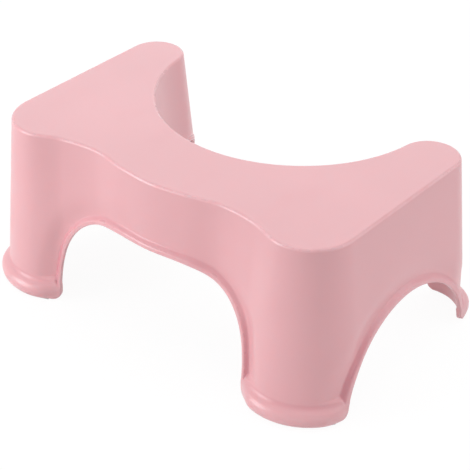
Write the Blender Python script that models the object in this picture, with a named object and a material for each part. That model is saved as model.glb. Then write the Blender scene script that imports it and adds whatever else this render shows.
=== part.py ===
"""A one-piece moulded footstool for use at a toilet, with an anti-slip strip in each of its four feet.

The stool stands on the floor at Z = 0 and is centred on the Z axis. Its front edge faces -Y,
and the bay that goes round the foot of the toilet opens towards +Y. Lengths are in metres.
"""
import math

import bmesh
import bpy
from mathutils import Matrix
from mathutils import Vector

# Remove everything that is already in the scene
for old_object in list(bpy.data.objects):
    bpy.data.objects.remove(old_object, do_unlink=True)

# Driving sizes: heights and wall
overall_height = 0.170
shell_stand_off = 0.001
wall_thickness = 0.003
wall_spread = 0.0154
deck_edge_radius = 0.003

# Driving sizes: plan of the deck, measured from its middle to its outermost edges
deck_half_length = 0.1895
deck_half_width = 0.1119
front_lobe_setback = 0.0007
front_lobe_radius = 0.0427
rear_lobe_radius = 0.0277
bay_centre_y = 0.1050

# Driving sizes: how far the wavy front edge lies behind the front lobes
wave_station_shares = (0.0, 0.25, 0.5, 0.75, 1.0)
wave_inset_at_middle = 0.0042
wave_inset_at_first_station = 0.0082
wave_inset_at_second_station = 0.0155
wave_inset_at_third_station = 0.0115

# Driving sizes: the feet, measured along X and along Y from the outermost edges of the deck
front_foot_width = 0.0787
front_foot_depth = 0.0279
rear_foot_width = 0.0415
rear_foot_depth = 0.0171

# Driving sizes: the arches between the feet, and the raised lip round each of them
front_arch_height = 0.1046
front_arch_exponent = 3.226
side_arch_height = 0.0795
side_arch_exponent = 1.954
rear_arch_height = 0.104
rear_arch_exponent = 3.2
lip_width = 0.005
lip_projection = 0.001

# Driving sizes: the bead round each foot, and the thicker wall behind it
bead_projection = 0.0073
bead_middle_height = 0.0092
bead_half_height = 0.0084
bead_flank_angle = math.radians(60.0)
bead_blend_height = 0.0245
bead_end_length = 0.026
foot_corner_length = 0.009
foot_corner_height = 0.007
foot_inner_inset = 0.0045
foot_inner_height = 0.013
foot_shoulder_height = 0.022

# Driving sizes: ribs below the deck
rib_thickness = 0.002
rib_depth = 0.016
cross_rib_pitch = 0.042
cross_rib_count = 9
long_rib_y_positions = (-0.085, -0.055, 0.010, 0.060)

# Driving sizes: anti-slip strips with round pegs on top
strip_width = 0.0038
strip_height = 0.0047
strip_wall_inset = 0.0008
strip_end_margin = 0.012
peg_radius = 0.0012
peg_length = 0.0042
peg_end_distance = 0.008
pegs_per_strip = 3
fit_clearance = 0.0003

# How finely curves are divided
front_lobe_steps = 10
rear_lobe_steps = 16
bay_steps = 14
wave_steps = 16
fillet_steps = 4
bead_steps = 8
blend_steps = 4
foot_corner_steps = 5
arch_steps = 40
smooth_angle = math.radians(32.0)
flat_angle = math.radians(0.05)
weld_distance = 0.000002
peg_sides = 20

# Heights and sizes that follow from the ones above
shell_bottom = shell_stand_off
wave_insets = (
    wave_inset_at_middle,
    wave_inset_at_first_station,
    wave_inset_at_second_station,
    wave_inset_at_third_station,
    0.0,
)
front_half_length = deck_half_length - front_lobe_setback
front_lobe_x = front_half_length - front_lobe_radius
front_lobe_y = front_lobe_radius - deck_half_width
rear_lobe_x = deck_half_length - rear_lobe_radius
rear_lobe_y = deck_half_width - rear_lobe_radius
bay_radius = math.hypot(rear_lobe_x, bay_centre_y - rear_lobe_y) - rear_lobe_radius
front_edge_y = -deck_half_width
bay_edge_y = bay_centre_y - bay_radius
neck_middle_y = (front_edge_y + bay_edge_y) / 2
front_arch_half_width = front_half_length - front_foot_width
rear_arch_half_width = deck_half_length - rear_foot_width
side_arch_front_y = front_foot_depth - deck_half_width
side_arch_rear_y = deck_half_width - rear_foot_depth
side_arch_centre_y = (side_arch_front_y + side_arch_rear_y) / 2
side_arch_half_width = (side_arch_rear_y - side_arch_front_y) / 2
half_wall = wall_thickness / 2
overcut = 2 * wall_thickness
groove_top = strip_height + fit_clearance


def spread_at(height):
    """How far the wall stands out beyond the deck outline at a height."""
    return wall_spread * (overall_height - height) / overall_height


def arc_stations(centre, radius, start, end, steps, outward):
    """Points of an arc with their outward normals; outward is -1 where the arc is hollow."""
    stations = []
    for step in range(steps):
        angle = start + (end - start) * step / steps
        direction = Vector((math.cos(angle), math.sin(angle)))
        stations.append((centre + direction * radius, direction * outward))
    return stations


def wave_height_and_slope(x):
    """Inset of the front edge at x, with its slope, on a smooth curve through the wave stations."""
    places = [share * front_lobe_x for share in wave_station_shares]
    slopes = [0.0]
    for index in range(1, len(places) - 1):
        rise = wave_insets[index + 1] - wave_insets[index - 1]
        slopes.append(rise / (places[index + 1] - places[index - 1]))
    slopes.append(0.0)
    index = 0
    while index < len(places) - 2 and x > places[index + 1]:
        index += 1
    span = places[index + 1] - places[index]
    t = (x - places[index]) / span
    low = wave_insets[index]
    high = wave_insets[index + 1]
    low_slope = slopes[index] * span
    high_slope = slopes[index + 1] * span
    inset = (2 * t**3 - 3 * t**2 + 1) * low + (t**3 - 2 * t**2 + t) * low_slope
    inset += (3 * t**2 - 2 * t**3) * high + (t**3 - t**2) * high_slope
    slope = (6 * t**2 - 6 * t) * (low - high) + (3 * t**2 - 4 * t + 1) * low_slope
    slope += (3 * t**2 - 2 * t) * high_slope
    return inset, slope / span


def half_outline():
    """The right half of the deck outline, from the middle of the bay round to the middle of the front."""
    bay_centre = Vector((0.0, bay_centre_y))
    rear_centre = Vector((rear_lobe_x, rear_lobe_y))
    front_centre = Vector((front_lobe_x, front_lobe_y))
    bay_end = math.atan2(rear_lobe_y - bay_centre_y, rear_lobe_x)
    along_end = rear_centre - front_centre
    lean = math.asin((front_lobe_radius - rear_lobe_radius) / along_end.length)
    end_angle = math.atan2(along_end.y, along_end.x) - math.pi / 2 + lean
    stations = arc_stations(bay_centre, bay_radius, -math.pi / 2, bay_end, bay_steps, -1.0)
    stations += arc_stations(
        rear_centre, rear_lobe_radius, bay_end + math.pi, end_angle, rear_lobe_steps, 1.0)
    last = Vector((math.cos(end_angle), math.sin(end_angle)))
    stations.append((rear_centre + last * rear_lobe_radius, last))
    stations += arc_stations(
        front_centre, front_lobe_radius, end_angle, -math.pi / 2, front_lobe_steps, 1.0)
    for step in range(wave_steps + 1):
        x = front_lobe_x * (1.0 - step / wave_steps)
        inset, slope = wave_height_and_slope(x)
        stations.append((Vector((x, front_edge_y + inset)), Vector((slope, -1.0)).normalized()))
    return stations


def full_outline():
    """The right half followed by its mirror image."""
    right = half_outline()
    left = []
    for point, normal in reversed(right[1:-1]):
        left.append((Vector((-point.x, point.y)), Vector((-normal.x, normal.y))))
    return right + left


outline = full_outline()


def swell_share(point, normal):
    """How fully the foot bead stands out at a place of the outline: 0 at the arches, 1 well inside a foot."""
    place = point + normal * spread_at(shell_bottom)
    front_room = min(abs(place.x) - front_arch_half_width, side_arch_front_y - place.y)
    rear_room = min(abs(place.x) - rear_arch_half_width, place.y - side_arch_rear_y)
    room_share = max(front_room, rear_room, 0.0) / bead_end_length
    return math.sin(math.pi / 2 * min(room_share, 1.0))


def ring(offset, height, projection=0.0):
    """The outline at a height, moved outward by an offset and by as much of the bead as each place has."""
    section = []
    for point, normal in outline:
        reach = offset + projection * swell_share(point, normal)
        section.append((*(point + normal * reach), height))
    return section


def solid_from_sections(name, sections):
    """A closed body: one face, extruded through a row of sections that have the same number of points."""
    bm = bmesh.new()
    order = bm.verts.layers.int.new("order")
    corners = []
    for index, place in enumerate(sections[0]):
        corner = bm.verts.new(place)
        corner[order] = index
        corners.append(corner)
    face = bm.faces.new(corners)
    first = face
    for section in sections[1:]:
        result = bmesh.ops.extrude_face_region(bm, geom=[face])
        if face is not first:
            bmesh.ops.delete(bm, geom=[face], context="FACES_ONLY")
        face = next(item for item in result["geom"] if isinstance(item, bmesh.types.BMFace))
        for corner in face.verts:
            corner.co = section[corner[order]]
    bmesh.ops.triangulate(bm, faces=bm.faces[:])
    bmesh.ops.recalc_face_normals(bm, faces=bm.faces[:])
    mesh = bpy.data.meshes.new(name)
    store_tidied(bm, mesh)
    return linked_object(name, mesh)


def store_tidied(bm, mesh):
    """Weld stray points, join faces that lie in one plane and store the result in a mesh."""
    bmesh.ops.remove_doubles(bm, verts=bm.verts[:], dist=weld_distance)
    bmesh.ops.dissolve_degenerate(bm, edges=bm.edges[:], dist=weld_distance)
    bmesh.ops.dissolve_limit(bm, angle_limit=flat_angle, verts=bm.verts[:], edges=bm.edges[:])
    bm.to_mesh(mesh)
    bm.free()


def linked_object(name, mesh):
    """A mesh put into the scene under a name."""
    body = bpy.data.objects.new(name, mesh)
    bpy.context.scene.collection.objects.link(body)
    return body


def combine(body, other, operation):
    """Join another body to this one, cut it away or keep what they share; the other body is used up."""
    modifier = body.modifiers.new(other.name, "BOOLEAN")
    modifier.object = other
    modifier.operation = operation
    modifier.solver = "EXACT"
    depsgraph = bpy.context.evaluated_depsgraph_get()
    mesh = bpy.data.meshes.new_from_object(body.evaluated_get(depsgraph))
    body.modifiers.clear()
    body.data = mesh
    bm = bmesh.new()
    bm.from_mesh(mesh)
    store_tidied(bm, mesh)
    bpy.data.objects.remove(other, do_unlink=True)


def mirrored(body, name):
    """A copy of a body on the other side of the middle plane."""
    mesh = body.data.copy()
    mesh.transform(Matrix.Scale(-1.0, 4, Vector((1.0, 0.0, 0.0))))
    mesh.flip_normals()
    return linked_object(name, mesh)


def bead_levels():
    """Offsets of the wall, heights and projections of the rounded bead and of the hollow curve above it."""
    lowest_angle = math.asin((shell_bottom - bead_middle_height) / bead_half_height)
    levels = []
    for step in range(bead_steps + 1):
        angle = lowest_angle + (bead_flank_angle - lowest_angle) * step / bead_steps
        height = bead_middle_height + bead_half_height * math.sin(angle)
        levels.append((spread_at(height), height, bead_projection * math.cos(angle)))
    flank_height = bead_middle_height + bead_half_height * math.sin(bead_flank_angle)
    flank_projection = bead_projection * math.cos(bead_flank_angle)
    flank_slope = bead_projection * math.tan(bead_flank_angle) / bead_half_height
    corner_height = flank_height + flank_projection / flank_slope
    for step in range(1, blend_steps + 1):
        t = step / blend_steps
        projection = (1 - t) ** 2 * flank_projection
        height = (1 - t) ** 2 * flank_height + 2 * t * (1 - t) * corner_height + t**2 * bead_blend_height
        levels.append((spread_at(height), height, projection))
    return levels


def deck_edge_levels():
    """Offsets and heights of the rounded edge between the walls and the deck."""
    start_height = overall_height - deck_edge_radius
    levels = []
    for step in range(fillet_steps + 1):
        angle = math.pi / 2 * step / fillet_steps
        offset = spread_at(start_height) - deck_edge_radius * (1 - math.cos(angle))
        levels.append((offset, start_height + deck_edge_radius * math.sin(angle)))
    return levels


def leaning_body(name, inset, low, high):
    """A solid that follows the walls at an inset from their outer face, between two heights."""
    levels = [(spread_at(low) - inset, low), (spread_at(high) - inset, high)]
    return solid_from_sections(name, [ring(offset, height) for offset, height in levels])


def outer_body():
    """The outside of the stool: foot bead, leaning wall, rounded edge and flat deck."""
    levels = bead_levels() + deck_edge_levels()
    return solid_from_sections("stool_shell", [ring(*level) for level in levels])


def hollow_body():
    """The space inside: narrow between the thick feet, wider above them, up to the underside of the deck."""
    ceiling = overall_height - wall_thickness
    levels = [
        (spread_at(0.0) - foot_inner_inset, -overcut),
        (spread_at(foot_inner_height) - foot_inner_inset, foot_inner_height),
        (spread_at(foot_shoulder_height) - wall_thickness, foot_shoulder_height),
        (spread_at(ceiling) - wall_thickness, ceiling),
    ]
    return solid_from_sections("hollow", [ring(offset, height) for offset, height in levels])


def arch_curve(half_width, height, exponent, margin, floor):
    """Points across an arch and up to its crown, moved out by a margin and closed at a floor height."""
    curve = []
    for step in range(arch_steps + 1):
        angle = math.pi * step / arch_steps
        across_share = math.copysign(abs(math.cos(angle)) ** (2 / exponent), math.cos(angle))
        up_share = max(math.sin(angle), 0.0) ** (2 / exponent)
        normal = Vector((
            math.copysign(abs(across_share) ** (exponent - 1), across_share) / half_width,
            up_share ** (exponent - 1) / height,
        )).normalized()
        curve.append(Vector((across_share * half_width, up_share * height)) + normal * margin)
    above = [point for point in curve if point.y > floor]
    return [Vector((above[0].x, floor))] + above + [Vector((above[-1].x, floor))]


def opening_curve(half_width, height, exponent):
    """The free edge of an arch, which swings outward round the lower corners of the feet beside it."""
    corner_top = shell_bottom + foot_corner_height
    curve = arch_curve(half_width, height, exponent, 0.0, corner_top)
    corner = []
    for step in range(1, foot_corner_steps + 1):
        angle = math.pi / 2 * step / foot_corner_steps
        out = foot_corner_length * (1 - math.cos(angle))
        corner.append((out, corner_top - foot_corner_height * math.sin(angle)))
    corner.append((foot_corner_length, -overcut))
    right = [Vector((curve[0].x + out, up)) for out, up in reversed(corner)]
    left = [Vector((curve[-1].x - out, up)) for out, up in corner]
    return right + curve + left


# Each arch: its wall, middle, half width, height, exponent, and how far its cutter reaches
arches = (
    ("front", 0.0, front_arch_half_width, front_arch_height, front_arch_exponent),
    ("rear", 0.0, rear_arch_half_width, rear_arch_height, rear_arch_exponent),
    ("left", side_arch_centre_y, side_arch_half_width, side_arch_height, side_arch_exponent),
    ("right", side_arch_centre_y, side_arch_half_width, side_arch_height, side_arch_exponent),
)
beyond_deck = wall_spread + bead_projection + overcut
beyond_length = deck_half_length + beyond_deck
beyond_width = deck_half_width + beyond_deck
arch_reaches = {
    "front": (neck_middle_y, -beyond_width),
    "rear": (neck_middle_y, beyond_width),
    "left": (-front_lobe_x, -beyond_length),
    "right": (front_lobe_x, beyond_length),
}


def widened_arch_prism(arch, margin, floor):
    """A bar with the outline of an arch moved out by a margin, through the wall that the arch is in."""
    wall_name, middle, half_width, height, exponent = arch
    curve = arch_curve(half_width, height, exponent, margin, floor)
    return prism_through_wall(wall_name, middle, curve)


def opening_prism(arch):
    """A bar with the outline of the free opening of an arch."""
    wall_name, middle, half_width, height, exponent = arch
    return prism_through_wall(wall_name, middle, opening_curve(half_width, height, exponent))


def prism_through_wall(wall_name, middle, curve):
    """A straight bar with a given outline, from inside the stool out through one of its walls."""
    sections = []
    for reach in arch_reaches[wall_name]:
        if wall_name in ("front", "rear"):
            sections.append([(middle + point.x, reach, point.y) for point in curve])
        else:
            sections.append([(reach, middle + point.x, point.y) for point in curve])
    return solid_from_sections(wall_name + "_arch", sections)


def arch_lip(arch):
    """The raised lip round an arch, from the floor end of one foot over the crown to the other."""
    top = max(front_arch_height, side_arch_height, rear_arch_height) + lip_width + overcut
    lip = leaning_body("lip", -lip_projection, shell_bottom, top)
    combine(lip, leaning_body("core", half_wall, -overcut, top + overcut), "DIFFERENCE")
    combine(lip, widened_arch_prism(arch, lip_width, -overcut), "INTERSECT")
    return lip


def box(name, low, high):
    """A plain block between two opposite corners."""
    section = [(low[0], low[1]), (high[0], low[1]), (high[0], high[1]), (low[0], high[1])]
    return solid_from_sections(name, [[(x, y, z) for x, y in section] for z in (low[2], high[2])])


def deck_ribs():
    """A grid of thin ribs below the deck, ending inside the walls."""
    low = overall_height - wall_thickness - rib_depth
    high = overall_height - half_wall
    ribs = leaning_body("ribs", half_wall, low, high)
    grid = None
    for index in range(cross_rib_count):
        x = (index - (cross_rib_count - 1) / 2) * cross_rib_pitch
        rib = box("rib", (x - rib_thickness / 2, -beyond_width, low - overcut),
                  (x + rib_thickness / 2, beyond_width, high + overcut))
        grid = joined(grid, rib)
    for y in long_rib_y_positions:
        rib = box("rib", (-beyond_length, y - rib_thickness / 2, low - overcut),
                  (beyond_length, y + rib_thickness / 2, high + overcut))
        grid = joined(grid, rib)
    combine(ribs, grid, "INTERSECT")
    return ribs


def joined(body, other):
    """Two bodies as one, or the second alone where there is no first."""
    if body is None:
        return other
    combine(body, other, "UNION")
    return body


def foot_path(is_front, offset, end_margin):
    """A line round a right foot at an offset from the deck outline, ending a margin short of both arches."""
    if is_front:
        low_x = front_arch_half_width + end_margin
        high_y = side_arch_front_y - end_margin
    else:
        low_x = rear_arch_half_width + end_margin
        low_y = side_arch_rear_y + end_margin

    def room(place):
        """How far a place lies inside the foot's stretch; negative outside."""
        if is_front:
            return min(place.x - low_x, high_y - place.y)
        return min(place.x - low_x, place.y - low_y)

    stations = [(point + normal * offset, normal) for point, normal in half_outline()]
    path = []
    for (place, normal), (next_place, next_normal) in zip(stations, stations[1:]):
        here = room(place)
        there = room(next_place)
        if here > 0.0:
            path.append((place, normal))
        if (here > 0.0) != (there > 0.0):
            share = here / (here - there)
            path.append((place.lerp(next_place, share), normal.lerp(next_normal, share).normalized()))
    return path


def strip_body(name, path, width, low, high):
    """A bar of rectangular section along a path."""
    sections = []
    for place, normal in path:
        inner = place - normal * width / 2
        outer = place + normal * width / 2
        sections.append([(*inner, low), (*outer, low), (*outer, high), (*inner, high)])
    return solid_from_sections(name, sections)


def station_along(path, distance):
    """The point and the normal at a distance along a path."""
    left = distance
    for (place, normal), (next_place, next_normal) in zip(path, path[1:]):
        step = (next_place - place).length
        if left <= step:
            share = left / step
            return place.lerp(next_place, share), normal.lerp(next_normal, share).normalized()
        left -= step
    return path[-1]


def peg_bodies(path, radius, low, high):
    """Round pegs spread evenly along a path, as separate bodies."""
    length = sum((after[0] - before[0]).length for before, after in zip(path, path[1:]))
    pitch = (length - 2 * peg_end_distance) / (pegs_per_strip - 1)
    pegs = []
    for index in range(pegs_per_strip):
        place, _ = station_along(path, peg_end_distance + pitch * index)
        bm = bmesh.new()
        bmesh.ops.create_cone(
            bm, cap_ends=True, segments=peg_sides, radius1=radius, radius2=radius, depth=high - low,
            matrix=Matrix.Translation((place.x, place.y, (low + high) / 2)))
        mesh = bpy.data.meshes.new("peg")
        bm.to_mesh(mesh)
        bm.free()
        pegs.append(linked_object("peg", mesh))
    return pegs


def strip_path(is_front, end_margin):
    """The line along the middle of the underside of a right foot."""
    return foot_path(is_front, spread_at(shell_bottom) - strip_wall_inset, end_margin)


def foot_strip(name, is_front):
    """The anti-slip strip of a right foot, with the pegs that hold it."""
    path = strip_path(is_front, strip_end_margin)
    strip = strip_body(name, path, strip_width, 0.0, strip_height)
    for peg in peg_bodies(path, peg_radius, strip_height / 2, strip_height + peg_length):
        combine(strip, peg, "UNION")
    return strip


def strip_seat(is_front):
    """The groove and peg holes for the strip of a right foot."""
    path = strip_path(is_front, strip_end_margin - fit_clearance)
    seat = strip_body("seat", path, strip_width + 2 * fit_clearance, -overcut, groove_top)
    peg_path = strip_path(is_front, strip_end_margin)
    hole_top = strip_height + peg_length + fit_clearance
    for hole in peg_bodies(peg_path, peg_radius + fit_clearance, strip_height / 2, hole_top):
        combine(seat, hole, "UNION")
    return seat


def stool_shell():
    """The moulded shell with its foot beads, arches, lips, ribs and strip seats."""
    shell = outer_body()
    combine(shell, hollow_body(), "DIFFERENCE")
    combine(shell, deck_ribs(), "UNION")
    for arch in arches:
        combine(shell, arch_lip(arch), "UNION")
        combine(shell, opening_prism(arch), "DIFFERENCE")
    for is_front in (True, False):
        seat = strip_seat(is_front)
        combine(shell, mirrored(seat, seat.name + "_left"), "DIFFERENCE")
        combine(shell, seat, "DIFFERENCE")
    return shell


def plain_material(name, colour, roughness):
    """A material with a base colour and a roughness, for a material that isn't metal."""
    material = bpy.data.materials.new(name)
    material.use_nodes = True
    shader = material.node_tree.nodes["Principled BSDF"]
    shader.inputs["Base Color"].default_value = (*colour, 1.0)
    shader.inputs["Roughness"].default_value = roughness
    shader.inputs["Metallic"].default_value = 0.0
    material.diffuse_color = (*colour, 1.0)
    return material


def finish(body, material):
    """Give a body its material and smooth its gentle edges."""
    body.data.materials.clear()
    body.data.materials.append(material)
    body.data.shade_smooth()
    body.data.set_sharp_from_angle(angle=smooth_angle)


pink_plastic_colour = (0.80, 0.47, 0.50)
pink_plastic_roughness = 0.38
strip_rubber_colour = (0.62, 0.60, 0.59)
strip_rubber_roughness = 0.75

# The moulded shell
shell = stool_shell()
finish(shell, plain_material("pink_plastic", pink_plastic_colour, pink_plastic_roughness))

# The anti-slip strips, one in each foot
for strip_position, strip_is_front in (("front", True), ("rear", False)):
    right_strip = foot_strip("foot_strip_" + strip_position + "_right", strip_is_front)
    left_strip = mirrored(right_strip, "foot_strip_" + strip_position + "_left")
    for strip in (right_strip, left_strip):
        finish(strip, plain_material(strip.name + "_rubber", strip_rubber_colour, strip_rubber_roughness))
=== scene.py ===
# %% [markdown]
# This scene dresses a moulded footstool of the kind that stands round the foot of a toilet.
# The real stool is one pink plastic moulding with soft strips pressed into its feet.
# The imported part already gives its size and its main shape, and it could be shown as it is.
# Here the moulding is made again with the small roundings that a mould leaves, because they catch the light.

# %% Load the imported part
import math

import bmesh
import bpy
import numpy as np
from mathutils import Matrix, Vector


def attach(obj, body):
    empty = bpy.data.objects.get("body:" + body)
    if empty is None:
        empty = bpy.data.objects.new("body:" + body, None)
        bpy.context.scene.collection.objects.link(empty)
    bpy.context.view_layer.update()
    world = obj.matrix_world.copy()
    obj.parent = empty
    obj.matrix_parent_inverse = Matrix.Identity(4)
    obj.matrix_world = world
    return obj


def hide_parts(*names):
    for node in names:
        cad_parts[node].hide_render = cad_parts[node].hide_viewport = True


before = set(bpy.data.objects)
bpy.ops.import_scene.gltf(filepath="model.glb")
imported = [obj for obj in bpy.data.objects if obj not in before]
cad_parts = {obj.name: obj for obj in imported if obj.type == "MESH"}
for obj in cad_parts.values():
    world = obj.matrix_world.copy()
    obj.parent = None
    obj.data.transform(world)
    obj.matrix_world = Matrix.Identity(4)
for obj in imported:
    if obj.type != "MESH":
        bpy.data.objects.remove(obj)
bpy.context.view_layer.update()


# %% [markdown]
# The camera stands where the photographer stood, to the right of the front and above the deck.
# It could be placed by eye, but then every later comparison of the two pictures would be a guess.
# So its place and lens were worked out from the outline of the stool, and the two pictures can be overlaid.
# The lens is moved a little sideways and down, because the photograph was cut from a larger one.

# %% Camera
camera_place = (0.7384, -0.89917, 0.81752)
camera_tilt = math.radians(57.15)
camera_turn = math.radians(39.306)
camera_lens = 112.74
camera_shift_x = 0.01169
camera_shift_y = -0.00847
nearest_seen = 0.05
farthest_seen = 50.0


def add_camera():
    """The camera, made the scene's own."""
    data = bpy.data.cameras.new("camera")
    data.lens = camera_lens
    data.shift_x = camera_shift_x
    data.shift_y = camera_shift_y
    data.clip_start = nearest_seen
    data.clip_end = farthest_seen
    camera = bpy.data.objects.new("camera", data)
    camera.location = camera_place
    camera.rotation_euler = (camera_tilt, 0.0, camera_turn)
    bpy.context.scene.collection.objects.link(camera)
    bpy.context.scene.camera = camera


add_camera()
print("the camera is", round(Vector(camera_place).length, 2), "m from the middle of the stool's footprint")

# %% [markdown]
# Seen from above, the stool is a bow tie, with two round lobes at each end, a round bay and a wavy front.
# It could be drawn as one free curve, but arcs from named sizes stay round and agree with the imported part.
# So the outline is a chain of arcs, a straight end and a smooth wave, all touching without a corner.
# One half is worked out here, from the middle of the bay round to the middle of the front.
# A place on the wall is then given by three numbers: how far along the outline, how high and how far out.

# %% Plan of the deck
overall_height = 0.170
shell_bottom = 0.001
wall_thickness = 0.003
wall_spread = 0.0154
deck_edge_radius = 0.003
front_lobe_x = 0.1461
front_lobe_y = -0.0692
front_lobe_radius = 0.0427
rear_lobe_x = 0.1618
rear_lobe_y = 0.0842
rear_lobe_radius = 0.0277
bay_centre_y = 0.1050
bay_radius = math.hypot(rear_lobe_x, bay_centre_y - rear_lobe_y) - rear_lobe_radius
front_edge_y = front_lobe_y - front_lobe_radius
wave_place_shares = (0.0, 0.25, 0.5, 0.75, 1.0)
wave_insets = (0.0042, 0.0082, 0.0155, 0.0115, 0.0)
outline_step = 0.0005
fewest_arc_steps = 2


def arc_points(centre_x, centre_y, radius, start, end, outward):
    """Places and outward normals along an arc; outward is -1 where the arc is hollow."""
    count = max(int(abs(end - start) * radius / outline_step), fewest_arc_steps)
    angles = np.linspace(start, end, count, endpoint=False)
    directions = np.column_stack((np.cos(angles), np.sin(angles)))
    return (centre_x, centre_y) + directions * radius, directions * outward


def curve_height(share, low, high, low_slope, high_slope):
    """The height at a share of the way between two places, each with a given height and slope."""
    height = (2 * share**3 - 3 * share**2 + 1) * low + (share**3 - 2 * share**2 + share) * low_slope
    height += (3 * share**2 - 2 * share**3) * high + (share**3 - share**2) * high_slope
    return height


def curve_slope(share, low, high, low_slope, high_slope):
    """The slope of the same curve."""
    slope = (6 * share**2 - 6 * share) * (low - high) + (3 * share**2 - 4 * share + 1) * low_slope
    slope += (3 * share**2 - 2 * share) * high_slope
    return slope


def wave_points():
    """Places and outward normals along the wavy front edge, from the front lobe to the middle."""
    places = np.array(wave_place_shares) * front_lobe_x
    insets = np.array(wave_insets)
    slopes = np.zeros(len(places))
    slopes[1:-1] = (insets[2:] - insets[:-2]) / (places[2:] - places[:-2])
    x = np.linspace(front_lobe_x, 0.0, int(front_lobe_x / outline_step))
    index = np.clip(np.searchsorted(places, x, side="right") - 1, 0, len(places) - 2)
    span = places[index + 1] - places[index]
    ends = (insets[index], insets[index + 1], slopes[index] * span, slopes[index + 1] * span)
    share = (x - places[index]) / span
    normals = np.column_stack((curve_slope(share, *ends) / span, -np.ones(len(x))))
    normals /= np.linalg.norm(normals, axis=1)[:, None]
    return np.column_stack((x, front_edge_y + curve_height(share, *ends))), normals


def half_outline():
    """Places and normals of the right half of the deck outline."""
    bay_end = math.atan2(rear_lobe_y - bay_centre_y, rear_lobe_x)
    run_x = rear_lobe_x - front_lobe_x
    run_y = rear_lobe_y - front_lobe_y
    lean = math.asin((front_lobe_radius - rear_lobe_radius) / math.hypot(run_x, run_y))
    end_angle = math.atan2(run_y, run_x) - math.pi / 2 + lean
    end_normal = np.array([[math.cos(end_angle), math.sin(end_angle)]])
    rear_tangent = np.array([[rear_lobe_x, rear_lobe_y]]) + end_normal * rear_lobe_radius
    front_tangent = np.array([[front_lobe_x, front_lobe_y]]) + end_normal * front_lobe_radius
    count = int(np.linalg.norm(front_tangent - rear_tangent) / outline_step)
    steps = np.linspace(0.0, 1.0, count, endpoint=False)[:, None]
    straight = rear_tangent + (front_tangent - rear_tangent) * steps
    runs = [
        arc_points(0.0, bay_centre_y, bay_radius, -math.pi / 2, bay_end, -1.0),
        arc_points(rear_lobe_x, rear_lobe_y, rear_lobe_radius, bay_end + math.pi, end_angle, 1.0),
        (straight, np.repeat(end_normal, count, axis=0)),
        arc_points(front_lobe_x, front_lobe_y, front_lobe_radius, end_angle, -math.pi / 2, 1.0),
        wave_points(),
    ]
    places = np.vstack([run[0] for run in runs])
    normals = np.vstack([run[1] for run in runs])
    return places, normals


outline_places, outline_normals = half_outline()
outline_lengths = np.append(0.0, np.cumsum(np.linalg.norm(np.diff(outline_places, axis=0), axis=1)))
outline_length = outline_lengths[-1]


def spread_at(height):
    """How far the wall stands out beyond the deck outline at a height."""
    return wall_spread * (overall_height - height) / overall_height


def wall_place(along, height, out):
    """Places in space for distances along the outline, heights, and distances out from the outline."""
    x = np.interp(along, outline_lengths, outline_places[:, 0])
    y = np.interp(along, outline_lengths, outline_places[:, 1])
    normal_x = np.interp(along, outline_lengths, outline_normals[:, 0])
    normal_y = np.interp(along, outline_lengths, outline_normals[:, 1])
    return np.column_stack((x + normal_x * out, y + normal_y * out, np.broadcast_to(height, np.shape(x))))

# %% [markdown]
# Four arches are cut in the walls, one in front, one at the back and one at each end.
# An arch like this is a superellipse, a curve between an ellipse and a rectangle, that stands on the floor.
# It could be cut from a finished wall, but then no edge loop would follow its curve, and its lip needs one.
# The cut runs straight through a curved wall, so its places are found in front view or end view first.
# They are then turned into distances along the outline, where the wall lies flat and is easy to work on.

# %% Arches on the flattened wall
front_foot_width = 0.0787
front_foot_depth = 0.0279
rear_foot_width = 0.0415
rear_foot_depth = 0.0171
front_arch_height = 0.1046
front_arch_exponent = 3.226
end_arch_height = 0.0795
end_arch_exponent = 1.954
rear_arch_height = 0.104
rear_arch_exponent = 3.2
front_arch_half_width = front_lobe_x + front_lobe_radius - front_foot_width
rear_arch_half_width = rear_lobe_x + rear_lobe_radius - rear_foot_width
end_arch_front_y = front_edge_y + front_foot_depth
end_arch_rear_y = -front_edge_y - rear_foot_depth
end_arch_middle_y = (end_arch_front_y + end_arch_rear_y) / 2
end_arch_half_width = (end_arch_rear_y - end_arch_front_y) / 2
rear_corner = np.argmax(outline_places[:, 1])
front_corner = np.argmin(outline_places[:, 1])
arch_step = 0.0026
arch_curve_count = 900

# Each arch: the view that shows it, its middle there, half width, height, exponent and stretch of outline
arches = {
    "rear": ("front", 0.0, rear_arch_half_width, rear_arch_height, rear_arch_exponent, (0, rear_corner)),
    "end": (
        "end", end_arch_middle_y, end_arch_half_width, end_arch_height, end_arch_exponent,
        (rear_corner, front_corner)),
    "front": (
        "front", 0.0, front_arch_half_width, front_arch_height, front_arch_exponent,
        (front_corner, len(outline_places) - 1)),
}


def along_at(view, stretch, sideways, heights):
    """Distances along the outline where the wall is met at places sideways in a view, and at heights."""
    first, last = stretch
    axis = 0 if view == "front" else 1
    lengths = outline_lengths[first:last + 1]
    places = outline_places[first:last + 1, axis]
    normals = outline_normals[first:last + 1, axis]
    result = np.empty(len(sideways))
    for index, (place, height) in enumerate(zip(sideways, heights)):
        spots = places + normals * spread_at(height)
        if spots[0] > spots[-1]:
            result[index] = np.interp(place, spots[::-1], lengths[::-1])
        else:
            result[index] = np.interp(place, spots, lengths)
    return result


def free_edge(name):
    """Places close together along the free edge of an arch, on the flattened wall, from the floor on.
    The end arch is whole, and the other two end at the crown, in the middle of the stool."""
    view, middle, half_width, height, exponent, stretch = arches[name]
    angles = np.linspace(0.0, math.pi if name == "end" else math.pi / 2, arch_curve_count)
    across = np.copysign(np.abs(np.cos(angles)) ** (2 / exponent), np.cos(angles))
    up = height * np.maximum(np.sin(angles), 0.0) ** (2 / exponent)
    return np.column_stack((along_at(view, stretch, middle + across * half_width, up), up))


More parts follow.
